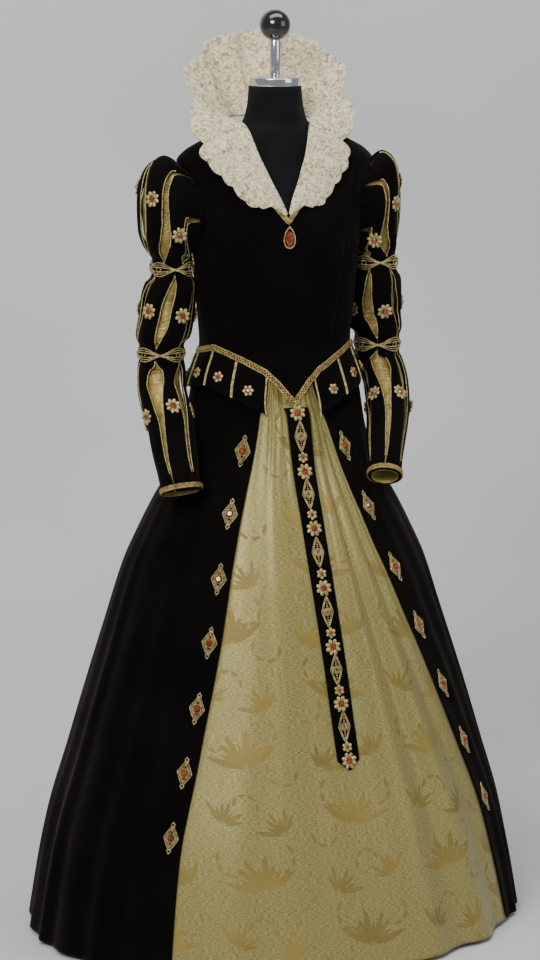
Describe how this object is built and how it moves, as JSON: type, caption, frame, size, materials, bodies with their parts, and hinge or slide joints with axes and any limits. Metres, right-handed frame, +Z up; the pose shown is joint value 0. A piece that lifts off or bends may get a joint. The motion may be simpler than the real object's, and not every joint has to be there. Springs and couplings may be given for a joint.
{
  "type": "historical gown on a limbless dress form with a stand",
  "caption": "Long dark velvet gown with pale gold forepart, slashed puffed sleeves, fluted standing lace collar and hanging girdle, on a dress form and round stand.",
  "frame": {"origin": "on the stand's axis at the underside of its round base, where the part rests on the floor", "axes": "+Z up along the stand, the front of the gown faces -Y, +X to the wearer's left"},
  "size_m": [0.8902, 0.7355, 1.6042],
  "materials": {
    "velvet": "near-black brown velvet with a faint pile sheen",
    "satin": "gold satin",
    "damask": "pale gold damask with tonal leaf and flower figures",
    "lace": "ivory guipure lace over stiffened net",
    "braid": "aged gilt braid and filigree",
    "amber": "dark amber cut stone",
    "jersey": "black jersey cover of the dress form",
    "chrome": "polished chrome",
    "gloss": "glossy black",
    "enamel": "black painted steel"
  },
  "bodies": {
    "root": {"bodice_back_left": "velvet", "bodice_back_right": "velvet", "bodice_front": "velvet", "bodice_side_front_left": "velvet", "bodice_side_front_right": "velvet", "brooch_left_1": "braid", "brooch_left_2": "braid", "brooch_left_3": "braid", "brooch_left_4": "braid", "brooch_left_5": "braid", "brooch_left_6": "braid", "brooch_left_7": "braid", "brooch_right_1": "braid", "brooch_right_2": "braid", "brooch_right_3": "braid", "brooch_right_4": "braid", "brooch_right_5": "braid", "brooch_right_6": "braid", "brooch_right_7": "braid", "collar": "lace", "cuff_braid_left": "braid", "cuff_braid_right": "braid", "finial_ball": "gloss", "finial_rod": "chrome", "forepart": "damask", "form_torso": "jersey", "girdle_band": "velvet", "girdle_chain": "braid", "neck_braid": "braid", "neck_cap": "chrome", "overskirt_back": "velvet", "overskirt_left": "velvet", "overskirt_right": "velvet", "pendant": "amber", "peplum_left": "velvet", "peplum_right": "velvet", "sleeve_band_lower_left": "braid", "sleeve_band_lower_right": "braid", "sleeve_band_upper_left": "braid", "sleeve_band_upper_right": "braid", "sleeve_lower_back_left": "velvet", "sleeve_lower_back_right": "velvet", "sleeve_lower_front_left": "velvet", "sleeve_lower_front_right": "velvet", "sleeve_middle_back_left": "velvet", "sleeve_middle_back_right": "velvet", "sleeve_middle_front_left": "velvet", "sleeve_middle_front_right": "velvet", "sleeve_upper_back_left": "velvet", "sleeve_upper_back_right": "velvet", "sleeve_upper_front_left": "velvet", "sleeve_upper_front_right": "velvet", "stand": "enamel", "undersleeve_left": "satin", "undersleeve_right": "satin", "waist_braid": "braid"}
  },
  "joints": []
}
